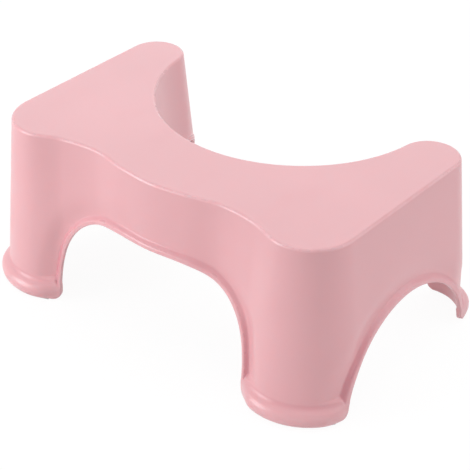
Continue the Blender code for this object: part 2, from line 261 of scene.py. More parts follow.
def even_chain(name, margin):
    """Places in even steps along the free edge of an arch, moved into the wall by a margin."""
    edge = free_edges[name]
    run = np.append(0.0, np.cumsum(np.linalg.norm(np.diff(edge, axis=0), axis=1)))
    places = np.linspace(0.0, run[-1], int(run[-1] / arch_step) + 1)
    chain = np.column_stack([np.interp(places, run, edge[:, axis]) for axis in range(2)])
    direction = np.sign(chain[-1, 0] - chain[0, 0])
    ahead = np.gradient(chain, axis=0)
    ahead[0] = (0.0, 1.0)
    ahead[-1] = (0.0, -1.0) if name == "end" else (direction, 0.0)
    outward = np.column_stack((-ahead[:, 1], ahead[:, 0])) * direction
    return chain + outward / np.linalg.norm(outward, axis=1)[:, None] * margin


free_edges = {name: free_edge(name) for name in arches}
for name, edge in free_edges.items():
    print(name, "arch on the flattened wall: from", edge[0].round(3), "to", edge[-1].round(3))

# %% [markdown]
# The wall is first made as a flat sheet: sideways it runs along the outline, upward it is the height.
# Round each arch the edge loop is extruded outward in steps, which gives bands that follow the curve exactly.
# The rest of the wall is one large face, cut into columns and rows with plane cuts.
# A Boolean cut through a bent wall would be quicker to write, but it leaves ragged slivers at the arches,
# where the eye goes first.

# %% Flat sheet of the wall
free_edge_radius = 0.0009
edge_shares = (0.0, 0.134, 0.5)
band_margins = tuple(free_edge_radius * share for share in edge_shares) + (
    free_edge_radius, 0.0016, 0.0024, 0.0031, 0.0036, 0.0041, 0.0046, 0.0051, 0.0057, 0.0063, 0.0070, 0.0077,
    0.0085, 0.0094, 0.0105, 0.0120, 0.0140, 0.0160,
)
far_margin = 0.05
column_width = 0.0025
foot_rows = tuple(shell_bottom + free_edge_radius * share for share in edge_shares) + (
    0.0019, 0.0026, 0.0034, 0.0043, 0.0053, 0.0066, 0.0080, 0.0094, 0.0108, 0.0122, 0.0135, 0.0147,
    0.0158, 0.0168, 0.0178, 0.0187, 0.0196, 0.0204, 0.0212, 0.0219, 0.0226, 0.0233, 0.0240, 0.0247,
    0.0255, 0.0264, 0.0276,
)
wall_row_start = 0.033
wall_row_end = 0.157
wall_row_count = 21
fillet_rows = 7
wall_top = overall_height - deck_edge_radius
sheet_top = wall_top + deck_edge_radius * math.pi / 2
cut_slack = 0.0000001
column_cut_direction = (1.0, 0.0, 0.0)
row_cut_direction = (0.0, 1.0, 0.0)


def add_arch_bands(bm, margin_layer, name):
    """Bands round one arch; returns the places of the outermost edge loop in order."""
    order = bm.verts.layers.int["order"]
    corners = []
    for index, (along, up) in enumerate(even_chain(name, band_margins[0])):
        corner = bm.verts.new((along, up, 0.0))
        corner[order] = index
        corners.append(corner)
    edges = [bm.edges.new(pair) for pair in zip(corners, corners[1:])]
    for margin in band_margins[1:]:
        chain = even_chain(name, margin)
        result = bmesh.ops.extrude_edge_only(bm, edges=edges)
        corners = [item for item in result["geom"] if isinstance(item, bmesh.types.BMVert)]
        edges = [
            item for item in result["geom"]
            if isinstance(item, bmesh.types.BMEdge) and all(end in corners for end in item.verts)]
        for corner in corners:
            along, up = chain[corner[order]]
            corner.co = (along, up, 0.0)
            corner[margin_layer] = margin
    return sorted(corners, key=lambda corner: corner[order])


def cut_along(bm, faces, place, direction):
    """One straight cut through faces."""
    edges = {edge for face in faces for edge in face.edges}
    corners = {corner for face in faces for corner in face.verts}
    geometry = list(corners) + list(edges) + list(faces)
    bmesh.ops.bisect_plane(bm, geom=geometry, dist=cut_slack, plane_co=place, plane_no=direction)


def cut_main(bm, place, direction):
    """One straight cut through what was the one large face of the wall."""
    main_layer = bm.faces.layers.int["main"]
    cut_along(bm, [face for face in bm.faces if face[main_layer]], place, direction)


def flat_sheet():
    """The right half of the wall, flat, with its bands, columns and rows."""
    bm = bmesh.new()
    bm.verts.layers.int.new("order")
    margin_layer = bm.verts.layers.float.new("margin")
    rear, end, front = [add_arch_bands(bm, margin_layer, name) for name in arches]
    top = []
    for along in (outline_length, 0.0):
        corner = bm.verts.new((along, sheet_top, 0.0))
        corner[margin_layer] = far_margin
        top.append(corner)
    main_layer = bm.faces.layers.int.new("main")
    wall = bm.faces.new(rear[::-1] + end + front + top)
    wall[main_layer] = 1
    columns = int(outline_length / column_width)
    for index in range(1, columns):
        cut_main(bm, (outline_length * index / columns, 0.0, 0.0), column_cut_direction)
    wall_heights = np.linspace(wall_row_start, wall_row_end, wall_row_count)
    fillet_heights = np.linspace(wall_top, sheet_top, fillet_rows, endpoint=False)
    for height in np.append(wall_heights, fillet_heights):
        cut_main(bm, (0.0, height, 0.0), row_cut_direction)
    for height in foot_rows:
        cut_along(bm, list(bm.faces), (0.0, height, 0.0), row_cut_direction)
    below = [face for face in bm.faces if face.calc_center_median().y < shell_bottom]
    bmesh.ops.delete(bm, geom=below, context="FACES")
    return bm


sheet = flat_sheet()
print("flat sheet:", len(sheet.verts), "corners,", len(sheet.faces), "faces")

# %% [markdown]
# The outside of the wall isn't plain. A narrow lip runs round each arch, and the wall sinks a bit beside it,
# though not round the arch below the bay. At the floor a rounded bead swells out of each foot.
# Such forms could be modelled one by one and joined, but the joins would show as creases.
# So all of it is one relief, a height above the leaning wall that depends on where a place lies on the sheet.
# A relief is easy to keep smooth, so the edges are as soft as on a real moulding.

# %% Relief of the outside and of the inside
bead_projection = 0.0073
bead_middle_height = 0.0092
bead_half_height = 0.0084
bead_flank_angle = math.radians(60.0)
bead_blend_height = 0.0215
bead_early_start = 0.005
bead_end_length = 0.024
lip_projection = 0.001
lip_width = 0.0034
lip_foot_height = 0.004
lip_fade_height = 0.016
dip_depth = 0.0028
dip_margin = 0.0080
dip_end_margin = 0.028
dip_bottom_height = 0.0170
dip_bottom_rise = 0.0055
dip_bottom_softness = 0.0016
dip_start_softness = 0.005
foot_inner_inset = 0.0045
foot_inner_height = 0.013
foot_shoulder_height = 0.022
curve_points = 80
steepest_of_soft_change = 1.5


def bead_curve():
    """Heights and projections along the rounded bead and the hollow curve above it."""
    lowest = math.asin((shell_bottom - bead_middle_height) / bead_half_height)
    angles = np.linspace(lowest, bead_flank_angle, curve_points)
    heights = bead_middle_height + bead_half_height * np.sin(angles)
    projections = bead_projection * np.cos(angles)
    flank_slope = bead_projection * math.tan(bead_flank_angle) / bead_half_height
    corner_height = heights[-1] + projections[-1] / flank_slope
    share = np.linspace(0.0, 1.0, curve_points)[1:]
    blend_heights = (1 - share) ** 2 * heights[-1] + 2 * share * (1 - share) * corner_height
    blend_heights += share**2 * bead_blend_height
    blend_projections = (1 - share) ** 2 * projections[-1]
    return np.append(heights, blend_heights), np.append(projections, blend_projections)


bead_heights, bead_projections = bead_curve()
rear_foot_middle = (free_edges["rear"][0, 0] + free_edges["end"][0, 0]) / 2
front_foot_middle = (free_edges["end"][-1, 0] + free_edges["front"][0, 0]) / 2
foot_middles = np.array([rear_foot_middle, front_foot_middle])
dip_start_stretch = (rear_foot_middle - dip_start_softness, rear_foot_middle + dip_start_softness)


def smooth_share(value, low, high):
    """0 below a low value, 1 above a high value, and a soft change between them."""
    share = np.clip((value - low) / (high - low), 0.0, 1.0)
    return share * share * (3 - 2 * share)


def swell_share(along):
    """How fully the bead stands out at places along the outline: 0 at the arches, 1 well inside a foot."""
    floor = wall_place(along, shell_bottom, spread_at(shell_bottom))
    front_room = np.minimum(floor[:, 0] - front_arch_half_width, end_arch_front_y - floor[:, 1])
    front_share = smooth_share(front_room, -bead_early_start, bead_end_length)
    bay_share = smooth_share(floor[:, 0] - rear_arch_half_width, 0.0, bead_end_length)
    end_share = smooth_share(floor[:, 1] - end_arch_rear_y, -bead_early_start, bead_end_length)
    return np.maximum(front_share, np.minimum(bay_share, end_share))


def edge_drop(distance):
    """How far a face falls back at a distance from a free edge, so that the edge is round."""
    share = np.clip(1 - distance / free_edge_radius, 0.0, 1.0)
    return free_edge_radius * (1 - np.sqrt(1 - share**2))


def above_bead_share(height, margin):
    """0 where the bead has taken the place of the lip and the dip, and 1 above it."""
    bottom = dip_bottom_height + dip_bottom_rise * smooth_share(margin, lip_width, dip_margin)
    return smooth_share(height, bottom - dip_bottom_softness, bottom + dip_bottom_softness)


def lip_relief(along, margin):
    """How far the lip stands out of the wall, or the wall beside it sinks in, as a negative number."""
    fall = smooth_share(margin, lip_width, dip_margin)
    rise = smooth_share(margin, dip_margin, dip_end_margin)
    depth = dip_depth * smooth_share(along, *dip_start_stretch)
    return lip_projection - (lip_projection + depth) * fall + depth * rise


def outer_relief(along, height, margin):
    """How far the outside stands out from the leaning wall."""
    above_share = above_bead_share(height, margin)
    swell = swell_share(along)
    low_lip = lip_projection * smooth_share(height, lip_foot_height, lip_fade_height)
    foot = np.interp(height, bead_heights, bead_projections, right=0.0) * swell + low_lip * (1 - swell)
    return lip_relief(along, margin) * above_share + foot * (1 - above_share) - edge_drop(margin)


def inner_relief(along, height, margin):
    """How far the inside lies from the leaning wall, as a negative number."""
    foot_share = 1 - smooth_share(height, foot_inner_height, foot_shoulder_height)
    lip = lip_relief(along, margin) * above_bead_share(height, margin)
    sunk = np.minimum(lip, 0.0) - wall_thickness
    free_edge_fall = edge_drop(np.minimum(margin, height - shell_bottom))
    return free_edge_fall + sunk * (1 - foot_share) - foot_inner_inset * foot_share


steepest = (lip_projection + dip_depth) * steepest_of_soft_change / (dip_margin - lip_width)
print("the flank of the lip leans by", round(math.degrees(math.atan(steepest))), "degrees")

# %% [markdown]
# Now the sheet gets its thickness and is bent. Solidify and a curve modifier could do both,
# but they know nothing of the relief, and the inside of this wall doesn't follow its outside.
# So all faces are extruded, and every corner goes to its own place on the wall, the rounded edge or the deck.
# Near the floor the corners move into the foot, which rounds the ends of the feet.
# Two numbers are kept at every corner for the plastic: how much of an edge it is, where use wears it pale,
# and how deep it lies in the crease beside a lip or above a bead, where shade is painted into the colour as a
# darker, deeper pink.

# %% Bend and thicken the sheet
# The round at the ends of the feet, first the rear foot and then the front foot: how long and how high it is,
# and how far into the foot corners still move
foot_corner_lengths = np.array([0.009, 0.009])
foot_corner_heights = np.array([0.007, 0.0075])
foot_corner_reaches = np.array([0.020, 0.030])
inner_corner_radius = 0.001
upright_top = 0.157
deck_row_height = sheet_top - cut_slack
weld_distance = 0.000001
worn_margin = 0.0026
lip_edge_margins = (0.0026, 0.0042, 0.0052, 0.0070)
lip_edge_shares = (0.0, 0.8, 0.8, 0.0)
bead_wear_share = 0.45
bead_wear_power = 4
# Where shade is painted into the creases: across the flank beside each lip, fading upward, and in the fold
# above each bead
crease_shade_margins = (0.0028, 0.0048, 0.0072, 0.0092)
crease_shade_shares = (0.0, 1.0, 1.0, 0.0)
crease_shade_fade_start = 0.035
crease_shade_fade_end = 0.090
crease_shade_fade_share = 0.65
bead_crease_shade_heights = (0.0172, 0.0190, 0.0205, 0.0225)
bead_crease_shade_shares = (0.0, 0.4, 0.4, 0.0)


def true_margins(places, margins):
    """The margins of corners, measured to the nearest arch where a corner lies beyond the bands."""
    beyond = margins > band_margins[-1] - weld_distance
    edges = np.vstack(list(free_edges.values()))
    result = margins.copy()
    result[beyond] = [np.linalg.norm(edges - place, axis=1).min() for place in places[beyond]]
    return result


def fillet_share(rise):
    """How far up the rounded deck edge a place on the sheet is: 0 on the wall, 1 on the deck."""
    return np.clip((rise - wall_top) / (sheet_top - wall_top), 0.0, 1.0)


def lifted(places, relief, deck_height, edge_radius):
    """Places in space of sheet corners at a relief, with a rounded edge below a deck height."""
    along = places[:, 0]
    rise = places[:, 1]
    height = np.interp(rise, (0.0, upright_top, wall_top), (0.0, upright_top, deck_height - edge_radius))
    angle = fillet_share(rise) * math.pi / 2
    out = spread_at(height) + relief - edge_radius * (1 - np.cos(angle))
    return wall_place(along, height + edge_radius * np.sin(angle), out)


def corner_shift(places, margins):
    """How far corners near the floor move into the foot, for the round at both ends of each foot."""
    foot = np.argmin(np.abs(places[:, :1] - foot_middles), axis=1)
    rise_share = np.clip(1 - (places[:, 1] - shell_bottom) / foot_corner_heights[foot], 0.0, 1.0)
    shift = foot_corner_lengths[foot] * (1 - np.sqrt(1 - rise_share**2))
    shift *= np.clip(1 - margins / foot_corner_reaches[foot], 0.0, 1.0)
    shift /= np.interp(places[:, 0], outline_lengths, floor_stretch)
    return shift * np.sign(foot_middles[foot] - places[:, 0])


def edge_wear(places, margins):
    """How much of an edge each corner of the outside is, from 0 to 1."""
    rise = places[:, 1]
    free_edge_share = 1 - smooth_share(margins, 0.0, worn_margin)
    lip_edge_share = np.interp(margins, lip_edge_margins, lip_edge_shares)
    lip_edge_share *= smooth_share(rise, dip_bottom_height, bead_blend_height)
    deck_edge_share = np.sin(fillet_share(rise) * math.pi)
    bead_share = np.interp(rise, bead_heights, bead_projections, right=0.0) / bead_projection
    bead_edge_share = bead_share**bead_wear_power * bead_wear_share
    return np.maximum.reduce([free_edge_share, lip_edge_share, deck_edge_share, bead_edge_share])


def painted_crease_shade(places, margins):
    """How much shade is painted into each corner of the outside, in the crease beside a lip or above a bead,
    from 0 to 1.
    """
    along = places[:, 0]
    rise = places[:, 1]
    share = np.interp(margins, crease_shade_margins, crease_shade_shares) * smooth_share(along, *dip_start_stretch)
    share *= 1 - crease_shade_fade_share * smooth_share(rise, crease_shade_fade_start, crease_shade_fade_end)
    bead_share = np.interp(rise, bead_crease_shade_heights, bead_crease_shade_shares) * swell_share(along)
    return np.maximum(share * above_bead_share(rise, margins), bead_share)


floor_places = outline_places + outline_normals * spread_at(shell_bottom)
floor_steps = np.linalg.norm(np.gradient(floor_places, axis=0), axis=1)
floor_stretch = floor_steps / np.gradient(outline_lengths)


def close_deck(bm):
    """The deck: one face between the top edges of the sheet and a line that joins their ends."""
    deck_edges = [edge for edge in bm.edges if all(end.co.y > deck_row_height for end in edge.verts)]
    deck_ends = sorted({end for edge in deck_edges for end in edge.verts}, key=lambda end: end.co.x)
    deck_edges.append(bm.edges.new((deck_ends[0], deck_ends[-1])))
    bmesh.ops.contextual_create(bm, geom=deck_edges)
    bmesh.ops.recalc_face_normals(bm, faces=bm.faces[:])


def bend(bm, corners, is_outside):
    """Move corners of the sheet to the outside or the inside of the wall, and note their wear and their
    painted crease shade.
    """
    margin_layer = bm.verts.layers.float["margin"]
    wear_layer = bm.verts.layers.float["edge_wear"]
    crease_shade_layer = bm.verts.layers.float["crease"]
    places = np.array([corner.co[:2] for corner in corners])
    margins = true_margins(places, np.array([corner[margin_layer] for corner in corners]))
    places[:, 0] += corner_shift(places, margins)
    if is_outside:
        relief = outer_relief(places[:, 0], places[:, 1], margins)
        targets = lifted(places, relief, overall_height, deck_edge_radius)
        wear = edge_wear(places, margins)
        creases = painted_crease_shade(places, margins)
    else:
        relief = inner_relief(places[:, 0], places[:, 1], margins)
        targets = lifted(places, relief, overall_height - wall_thickness, inner_corner_radius)
        wear = creases = np.zeros(len(corners))
    for corner, target, wear_share, crease_shade_share in zip(corners, targets, wear, creases):
        corner.co = target
        corner[wear_layer] = wear_share
        corner[crease_shade_layer] = crease_shade_share


def thick_half(bm):
    """Give the flat sheet its deck and its inside, and bend both to their places."""
    bm.verts.layers.float.new("edge_wear")
    bm.verts.layers.float.new("crease")
    close_deck(bm)
    outside = bm.verts[:]
    result = bmesh.ops.extrude_face_region(bm, geom=bm.faces[:], use_keep_orig=True)
    inside = [item for item in result["geom"] if isinstance(item, bmesh.types.BMVert)]
    bend(bm, outside, True)
    bend(bm, inside, False)
    bmesh.ops.remove_doubles(bm, verts=bm.verts[:], dist=weld_distance)
    bmesh.ops.dissolve_degenerate(bm, edges=bm.edges[:], dist=weld_distance)


def new_piece(name, bm):
    """An object in the scene made from a bmesh, which is then freed."""
    mesh = bpy.data.meshes.new(name)
    bm.to_mesh(mesh)
    bm.free()
    piece = bpy.data.objects.new(name, mesh)
    bpy.context.scene.collection.objects.link(piece)
    return piece


def print_state(piece):
    """Print a piece's number of corners, and of open edges: those that don't lie between two faces."""
    bm = bmesh.new()
    bm.from_mesh(piece.data)
    open_edges = sum(not edge.is_manifold for edge in bm.edges)
    print(piece.name, "has", len(bm.verts), "corners and", open_edges, "open edges")
    bm.free()


thick_half(sheet)
shell = new_piece("moulded_shell", sheet)
print_state(shell)

# %% [markdown]
# Each foot has a groove below, where a soft strip sits on three pegs.
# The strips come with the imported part, and each groove is cut with a copy of its strip, grown a little.
# That leaves the same small room all round the strip, as the maker of such a stool would plan it.
# The groove could be modelled by hand, but here a Boolean is safe, as it lies in a flat face below a foot.

# %% Grooves for the strips
groove_room = 0.0003
flat_angle = math.radians(1.0)
right_strips = ("foot_strip_front_right", "foot_strip_rear_right")


def grown_copy(name):
    """A merged copy of a strip, with every face moved outward by the room in the groove."""
    bm = bmesh.new()
    bm.from_mesh(bpy.data.objects[name].data)
    bmesh.ops.remove_doubles(bm, verts=bm.verts[:], dist=weld_distance)
    bmesh.ops.dissolve_limit(bm, angle_limit=flat_angle, verts=bm.verts[:], edges=bm.edges[:])
    moves = []
    for corner in bm.verts:
        normals = np.array([face.normal for face in corner.link_faces])
        moves.append(np.linalg.lstsq(normals, np.full(len(normals), groove_room), rcond=None)[0])
    for corner, move in zip(bm.verts, moves):
        corner.co += Vector(move)
    return new_piece(name + "_groove", bm)


def apply_boolean(piece, other, operation):
    """Cut, join or limit a piece with another one, which is then removed."""
    modifier = piece.modifiers.new("cut", "BOOLEAN")
    modifier.operation = operation
    modifier.solver = "EXACT"
    modifier.object = other
    graph = bpy.context.evaluated_depsgraph_get()
    result = bpy.data.meshes.new_from_object(piece.evaluated_get(graph))
    piece.modifiers.remove(modifier)
    old = piece.data
    name = old.name
    piece.data = result
    bpy.data.meshes.remove(old)
    piece.data.name = name
    bpy.data.objects.remove(other)


for name in right_strips:
    apply_boolean(shell, grown_copy(name), "DIFFERENCE")
print_state(shell)

# %% [markdown]
# The left half of the stool is the right half in a mirror. It could be a Mirror modifier,
# but a welded mesh shows at once whether the two halves close up in the middle.
# The cut faces in the middle go first, then the copy is made and the halves are welded.
# All faces are shaded smooth, apart from the few real corners, and large faces lead where a normal is shared.

# %% Mirror the half
middle_slack = 0.00001
corner_angle = math.radians(42.0)


def mirror_half(piece):
    """Make a whole piece of its right half."""
    bm = bmesh.new()
    bm.from_mesh(piece.data)
    middle = [face for face in bm.faces if all(abs(corner.co.x) < middle_slack for corner in face.verts)]
    bmesh.ops.delete(bm, geom=middle, context="FACES")
    for corner in bm.verts:
        if abs(corner.co.x) < middle_slack:
            corner.co.x = 0.0
    geometry = bm.verts[:] + bm.edges[:] + bm.faces[:]
    bmesh.ops.mirror(bm, geom=geometry, axis="X", merge_dist=weld_distance)
    bmesh.ops.remove_doubles(bm, verts=bm.verts[:], dist=weld_distance)
    bmesh.ops.recalc_face_normals(bm, faces=bm.faces[:])
    bm.to_mesh(piece.data)
    bm.free()


def shade_smooth(piece):
    """Smooth shading with sharp corners kept and large faces leading."""
    piece.data.shade_smooth()
    piece.data.set_sharp_from_angle(angle=corner_angle)
    modifier = piece.modifiers.new("even shading", "WEIGHTED_NORMAL")
    modifier.keep_sharp = True


mirror_half(shell)
shade_smooth(shell)
print_state(shell)

# %% [markdown]
# Below the deck such a moulding has a grid of thin ribs, which keep the deck from giving way under a foot.
# A rib is a little thinner at its free edge than at its root, so that it slides out of the mould.
# Each rib could be measured to end at the walls, but the walls are curved and there are many ribs.
# So the ribs are made too long and too high, limited to the space inside the walls, and then joined.

# %% Ribs below the deck
rib_root_thickness = 0.0022
rib_edge_thickness = 0.0016
rib_depth = 0.016
rib_edge_radius = 0.0005
rib_edge_segments = 3
round_profile = 0.5
rib_reach = 0.5
cross_rib_pitch = 0.042
cross_rib_count = 9
long_rib_y_positions = (-0.085, -0.055, 0.010, 0.060)
rib_root_height = overall_height - wall_thickness / 2
rib_edge_height = overall_height - wall_thickness - rib_depth
inside_step = 0.004


def add_rib(bm, x, y, is_cross):
    """One long rib with slanted sides and a rounded free edge."""
    result = bmesh.ops.create_cube(bm, size=1.0)
    for corner in result["verts"]:
        is_root = corner.co.z > 0.0
        thickness = rib_root_thickness if is_root else rib_edge_thickness
        across = math.copysign(thickness / 2, corner.co.x)
        length = math.copysign(rib_reach / 2, corner.co.y)
        height = rib_root_height if is_root else rib_edge_height
        corner.co = (x + across, y + length, height) if is_cross else (x + length, y + across, height)
    edges = {
        edge for corner in result["verts"] for edge in corner.link_edges
        if all(end.co.z == corner.co.z and end.co.z < rib_root_height for end in edge.verts)
        and edge.calc_length() > rib_edge_thickness}
    bmesh.ops.bevel(
        bm, geom=list(edges), offset=rib_edge_radius, segments=rib_edge_segments, affect="EDGES",
        profile=round_profile)


def inside_body():
    """The space inside the walls where the ribs are, half a wall larger all round."""
    bm = bmesh.new()
    along = np.linspace(0.0, outline_length, int(outline_length / inside_step))
    loops = []
    for height in (rib_edge_height - rib_depth, overall_height):
        places = wall_place(along, height, spread_at(height) - wall_thickness / 2)
        mirrored = places[-2:0:-1] * (-1.0, 1.0, 1.0)
        corners = [bm.verts.new(place) for place in np.vstack((places, mirrored))]
        loops.append([bm.edges.new(pair) for pair in zip(corners, corners[1:] + corners[:1])])
        bm.faces.new(corners)
    bmesh.ops.bridge_loops(bm, edges=loops[0] + loops[1])
    bmesh.ops.recalc_face_normals(bm, faces=bm.faces[:])
    return new_piece("inside", bm)


def rib_row(places, is_cross):
    """Ribs that don't touch each other, as one piece limited to the space inside the walls."""
    bm = bmesh.new()
    for x, y in places:
        add_rib(bm, x, y, is_cross)
    bmesh.ops.recalc_face_normals(bm, faces=bm.faces[:])
    row = new_piece("deck_ribs", bm)
    apply_boolean(row, inside_body(), "INTERSECT")
    return row


def deck_ribs():
    """The grid: the row of cross ribs joined to the row of long ribs."""
    middle_index = (cross_rib_count - 1) / 2
    cross_places = [((index - middle_index) * cross_rib_pitch, 0.0) for index in range(cross_rib_count)]
    long_places = [(0.0, y) for y in long_rib_y_positions]
    ribs = rib_row(cross_places, True)
    apply_boolean(ribs, rib_row(long_places, False), "UNION")
    return ribs


ribs = deck_ribs()
shade_smooth(ribs)
print_state(ribs)

# %% [markdown]
# A material is a tree of nodes, and each node is a step: a texture, a sum or a mixture of two colours.
# Such a tree could be drawn by hand in the editor, but written down it can be read, repeated and changed.
# A few helpers keep it short, and set the nodes out in rows, so that the tree can be read in the editor too.

# %% Helpers for node trees
nodes_per_row = 6
node_width = 220.0
node_height = 320.0


def add_node(tree, kind, **settings):
    """A new node with settings, in the next free place of a grid."""
    row, column = divmod(len(tree.nodes), nodes_per_row)
    node = tree.nodes.new(kind)
    node.location = (column * node_width, -row * node_height)
    for name, value in settings.items():
        setattr(node, name, value)
    return node


def feed(tree, target, value):
    """Give an input a link from another node's output, or a number or colour of its own."""
    if isinstance(value, bpy.types.NodeSocket):
        tree.links.new(value, target)
    else:
        target.default_value = value


def set_inputs(tree, node, values):
    """Feed the inputs of a node that a table names."""
    for name, value in values.items():
        feed(tree, node.inputs[name], value)


def math_step(tree, operation, *values):
    """A Math node of two or three values, each an output or a number."""
    node = add_node(tree, "ShaderNodeMath", operation=operation)
    for target, value in zip(node.inputs, values):
        feed(tree, target, value)
    return node.outputs["Value"]


def noise_mask(tree, vector, scale, detail, limits):
    """Soft patches from 0 to 1: a noise texture whose middle range is spread out."""
    noise = add_node(tree, "ShaderNodeTexNoise")
    set_inputs(tree, noise, {"Vector": vector, "Scale": scale, "Detail": detail})
    spread = add_node(tree, "ShaderNodeMapRange", interpolation_type="SMOOTHSTEP")
    low, high = limits
    set_inputs(tree, spread, {"Value": noise.outputs["Fac"], "From Min": low, "From Max": high})
    return spread.outputs["Result"]


# %% [markdown]
# The plastic is polypropylene, coloured through, with the satin surface of a finely etched mould.
# Up close it isn't plain: the etched grain is a fine bump, the colour drifts a little where the melt flowed,
# edges are rubbed paler and smoother, shade is painted into the creases beside the lips and above the beads
# as a deeper pink, and use has left faint rubs that show in the gloss more than in the colour.
# Painted textures could show this, but they blur up close, and noise does not.
# The strips need some of the same, so it is a node group that both materials use with their own values.

# %% Node group for moulded surfaces
flow_scale = 8.0
flow_detail = 2.0
flow_range = (0.32, 0.68)
patch_scale = 55.0
patch_detail = 3.0
patch_range = (0.35, 0.62)
rub_scale = 26.0
rub_detail = 6.0
rub_range = (0.54, 0.70)
rub_stretch = (1.0, 0.4, 0.5)
rub_turn = (0.3, 0.2, 0.5)
grain_scale = 1100.0
grain_detail = 2.0
grain_range = (0.25, 0.75)
edge_polish = 0.07
mask_middle = 0.5
unchanged_brightness = 1.0

# A Mix node has inputs of one name for numbers, vectors and colours; these are its share and its two colours
mix_input_numbers = (0, 6, 7)
mix_output_number = 2

# The sockets of the group: input or output, kind and names
group_sockets = (
    ("INPUT", "NodeSocketColor", ("Color", "Worn Color", "Crease Color")),
    ("INPUT", "NodeSocketFloat", ("Colour Drift", "Edge Wear", "Crease Depth", "Roughness", "Rub Depth")),
    ("OUTPUT", "NodeSocketColor", ("Color",)),
    ("OUTPUT", "NodeSocketFloat", ("Roughness", "Height")),
)


def colour_mix(tree, share, first, second):
    """A mixture of two colours, with a share of the second."""
    node = add_node(tree, "ShaderNodeMix", data_type="RGBA")
    for number, value in zip(mix_input_numbers, (share, first, second)):
        feed(tree, node.inputs[number], value)
    return node.outputs[mix_output_number]


def drifting_colour(tree, given, vector):
    """The colour, a little lighter and darker in wide soft patches."""
    flow = noise_mask(tree, vector, flow_scale, flow_detail, flow_range)
    centred = math_step(tree, "SUBTRACT", flow, mask_middle)
    brightness = math_step(tree, "MULTIPLY_ADD", centred, given["Colour Drift"], unchanged_brightness)
    shade = add_node(tree, "ShaderNodeHueSaturation")
    set_inputs(tree, shade, {"Color": given["Color"], "Value": brightness})
    return shade.outputs["Color"]


def corner_number(tree, name):
    """A number that the mesh keeps at its corners."""
    return add_node(tree, "ShaderNodeAttribute", attribute_name=name).outputs["Fac"]


def rubbed_roughness(tree, given, vector, wear):
    """The roughness: higher in faint rubs, and lower on worn edges, which are polished."""
    turned = add_node(tree, "ShaderNodeMapping")
    set_inputs(tree, turned, {"Vector": vector, "Rotation": rub_turn, "Scale": rub_stretch})
    rubs = noise_mask(tree, turned.outputs["Vector"], rub_scale, rub_detail, rub_range)
    rub_change = math_step(tree, "MULTIPLY", rubs, given["Rub Depth"])
    rubbed = math_step(tree, "ADD", given["Roughness"], rub_change)
    polish = math_step(tree, "MULTIPLY", wear, edge_polish)
    return math_step(tree, "SUBTRACT", rubbed, polish)


def moulded_surface():
    """The node group: colour drift, worn edges, shade painted into the creases, rubs in the gloss and the
    etched grain.
    """
    tree = bpy.data.node_groups.new("moulded surface", "ShaderNodeTree")
    for side, kind, names in group_sockets:
        for name in names:
            tree.interface.new_socket(name, in_out=side, socket_type=kind)
    given = add_node(tree, "NodeGroupInput").outputs
    vector = add_node(tree, "ShaderNodeTexCoord").outputs["Object"]
    patches = noise_mask(tree, vector, patch_scale, patch_detail, patch_range)
    wear = math_step(tree, "MULTIPLY", corner_number(tree, "edge_wear"), patches)
    wear_share = math_step(tree, "MULTIPLY", wear, given["Edge Wear"])
    worn = colour_mix(tree, wear_share, drifting_colour(tree, given, vector), given["Worn Color"])
    # Painted shade: the creases beside the lips and above the beads get a darker, deeper pink
    crease_shade_share = math_step(tree, "MULTIPLY", corner_number(tree, "crease"), given["Crease Depth"])
    crease_shaded = colour_mix(tree, crease_shade_share, worn, given["Crease Color"])
    roughness = rubbed_roughness(tree, given, vector, wear)
    grain = noise_mask(tree, vector, grain_scale, grain_detail, grain_range)
    out = add_node(tree, "NodeGroupOutput")
    set_inputs(tree, out, {"Color": crease_shaded, "Roughness": roughness, "Height": grain})
    return tree


surface_group = moulded_surface()
print("node group:", surface_group.name, "with", len(surface_group.nodes), "nodes")

# %% [markdown]
# Two materials use the group. The pink plastic lets some light in, as polypropylene does:
# light that enters comes out again close by, which softens the dark side of every edge.
# A plain surface shader could give the same colour, but the stool would look painted.
# The strips are grey, matt rubber with a coarser grain, which keeps the stool from sliding.

# %% Pink plastic and strip rubber
plastic_look = {
    "Color": (0.80, 0.42, 0.45, 1.0),
    "Worn Color": (0.87, 0.58, 0.61, 1.0),
    # The crease colour is painted shade: a darker, deeper pink for the creases beside the lips and above the
    # beads
    "Crease Color": (0.60, 0.17, 0.22, 1.0),
    "Colour Drift": 0.035,
    "Edge Wear": 0.35,
    "Crease Depth": 0.6,
    "Roughness": 0.32,
    "Rub Depth": 0.10,
}
plastic_grain_strength = 0.10
plastic_grain_depth = 0.00005
plastic_gloss_and_glow = {
    "Specular IOR Level": 0.75,
    "Subsurface Weight": 0.25,
    "Subsurface Radius": (1.0, 0.35, 0.30),
    "Subsurface Scale": 0.003,
}
rubber_look = {
    "Color": (0.62, 0.60, 0.59, 1.0),
    "Worn Color": (0.50, 0.48, 0.47, 1.0),
    "Crease Color": (0.50, 0.48, 0.47, 1.0),
    "Colour Drift": 0.08,
    "Edge Wear": 0.0,
    "Crease Depth": 0.0,
    "Roughness": 0.75,
    "Rub Depth": 0.12,
}
rubber_grain_strength = 0.5
rubber_grain_depth = 0.0002
strip_places = ("front_left", "front_right", "rear_left", "rear_right")


def moulded_material(name, look, grain_strength, grain_depth):
    """A material whose surface comes from the shared group."""
    material = bpy.data.materials.new(name)
    material.use_nodes = True
    material.diffuse_color = look["Color"]
    tree = material.node_tree
    group = add_node(tree, "ShaderNodeGroup", node_tree=surface_group)
    set_inputs(tree, group, look)
    bump = add_node(tree, "ShaderNodeBump")
    grain = {"Height": group.outputs["Height"], "Strength": grain_strength, "Distance": grain_depth}
    set_inputs(tree, bump, grain)
    set_inputs(tree, tree.nodes["Principled BSDF"], {
        "Base Color": group.outputs["Color"],
        "Roughness": group.outputs["Roughness"],
        "Normal": bump.outputs["Normal"],
    })
    return material


def give_material(pieces, material):
    """Make a material the only one on some pieces."""
    for piece in pieces:
        piece.data.materials.clear()
        piece.data.materials.append(material)


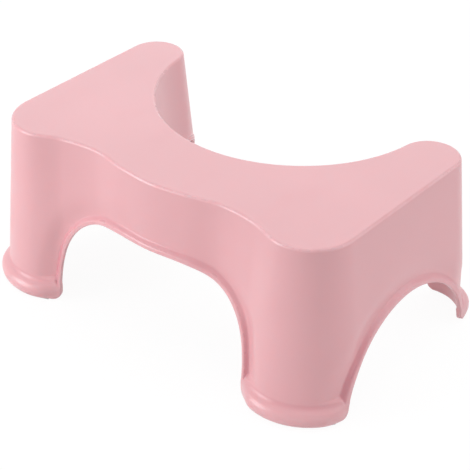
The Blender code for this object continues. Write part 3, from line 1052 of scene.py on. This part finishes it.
pink_plastic = moulded_material("pink_plastic", plastic_look, plastic_grain_strength, plastic_grain_depth)
set_inputs(pink_plastic.node_tree, pink_plastic.node_tree.nodes["Principled BSDF"], plastic_gloss_and_glow)
strip_rubber = moulded_material("strip_rubber", rubber_look, rubber_grain_strength, rubber_grain_depth)
give_material((shell, ribs), pink_plastic)
give_material([bpy.data.objects["foot_strip_" + place] for place in strip_places], strip_rubber)
print("materials:", [material.name for material in bpy.data.materials if material.users])

# %% [markdown]
# The stool stands on a white floor that fades into a white background, as in a catalogue picture.
# More light would make any floor white, but it would also bleach the stool.
# So the camera and the gloss meet a floor that glows a little: it is plain white but keeps the shadow.
# All other light, such as what the floor throws back at the stool, meets an ordinary pale floor.

# %% Floor and background
floor_half_size = 3.0
floor_colour = (0.82, 0.82, 0.82, 1.0)
floor_roughness = 0.9
floor_glow_share = 0.90
floor_glow_strength = 1.04
world_colour = (1.0, 1.0, 1.0, 1.0)
world_strength = 0.56
background_strength = 1.0


def seen_directly(tree):
    """1 for rays from the camera and for mirrored and refracted rays, 0 for the others."""
    path = add_node(tree, "ShaderNodeLightPath").outputs
    seen_or_mirrored = math_step(tree, "MAXIMUM", path["Is Camera Ray"], path["Is Glossy Ray"])
    return math_step(tree, "MAXIMUM", seen_or_mirrored, path["Is Transmission Ray"])


def white_floor():
    """A large plain floor that the camera sees as white with a shadow on it."""
    bm = bmesh.new()
    bmesh.ops.create_grid(bm, x_segments=1, y_segments=1, size=floor_half_size)
    floor = new_piece("floor", bm)
    material = bpy.data.materials.new("white_floor")
    material.use_nodes = True
    tree = material.node_tree
    shader = tree.nodes["Principled BSDF"]
    set_inputs(tree, shader, {"Base Color": floor_colour, "Roughness": floor_roughness})
    glow = add_node(tree, "ShaderNodeEmission")
    set_inputs(tree, glow, {"Color": world_colour, "Strength": floor_glow_strength})
    share = math_step(tree, "MULTIPLY", seen_directly(tree), floor_glow_share)
    mix = add_node(tree, "ShaderNodeMixShader")
    for target, value in zip(mix.inputs, (share, shader.outputs["BSDF"], glow.outputs["Emission"])):
        feed(tree, target, value)
    set_inputs(tree, tree.nodes["Material Output"], {"Surface": mix.outputs["Shader"]})
    floor.data.materials.append(material)
    return floor


def white_world():
    """A world that lights the stool evenly and softly, and looks white itself."""
    world = bpy.data.worlds.new("studio")
    world.use_nodes = True
    tree = world.node_tree
    gain = background_strength - world_strength
    strength = math_step(tree, "MULTIPLY_ADD", seen_directly(tree), gain, world_strength)
    set_inputs(tree, tree.nodes["Background"], {"Color": world_colour, "Strength": strength})
    bpy.context.scene.world = world


floor = white_floor()
white_world()
print("floor:", 2 * floor_half_size, "m wide")

# %% [markdown]
# The light is that of a small photo studio: large soft boxes at the front left, right, back and above.
# One lamp could light the stool, but satin plastic shows its form by the soft bands that it mirrors.
# The front left box makes the bright bands on the front wall, and the back one gives the deck its sheen.
# The right one keeps the end wall from being too dark.

# %% Studio lights
stool_middle = (0.0, 0.0, 0.08)

# Each soft box: its place, its size and its power in watts
soft_boxes = {
    "front left light": ((-1.05, -1.35, 0.55), 1.0, 13.8),
    "top light": ((0.0, 0.0, 2.0), 1.4, 6.5),
    "right light": ((1.5, 0.9, 0.95), 1.6, 8.0),
    "back light": ((-1.1, 1.35, 1.2), 2.0, 8.0),
}


def add_soft_box(name, place, size, power):
    """A square area light that points at the middle of the stool."""
    data = bpy.data.lights.new(name, "AREA")
    data.shape = "SQUARE"
    data.size = size
    data.energy = power
    light = bpy.data.objects.new(name, data)
    light.location = place
    light.rotation_euler = (Vector(stool_middle) - Vector(place)).to_track_quat("-Z", "Y").to_euler()
    bpy.context.scene.collection.objects.link(light)


for name, (place, size, power) in soft_boxes.items():
    add_soft_box(name, place, size, power)
print("soft boxes:", len(soft_boxes))

# %% [markdown]
# Last, the new pieces that stand in for the imported moulding are put on a body, and the imported moulding is
# hidden.
# Where something moves, each piece could ride on a body of its own, but nothing moves on this stool.
# So every piece rides on its one body.

# %% Attach the pieces and hide the imported moulding
scene = bpy.context.scene
scene.view_settings.view_transform = "Standard"
for piece in (shell, ribs):
    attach(piece, "root")
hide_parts("stool_shell")
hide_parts("stool_shell")
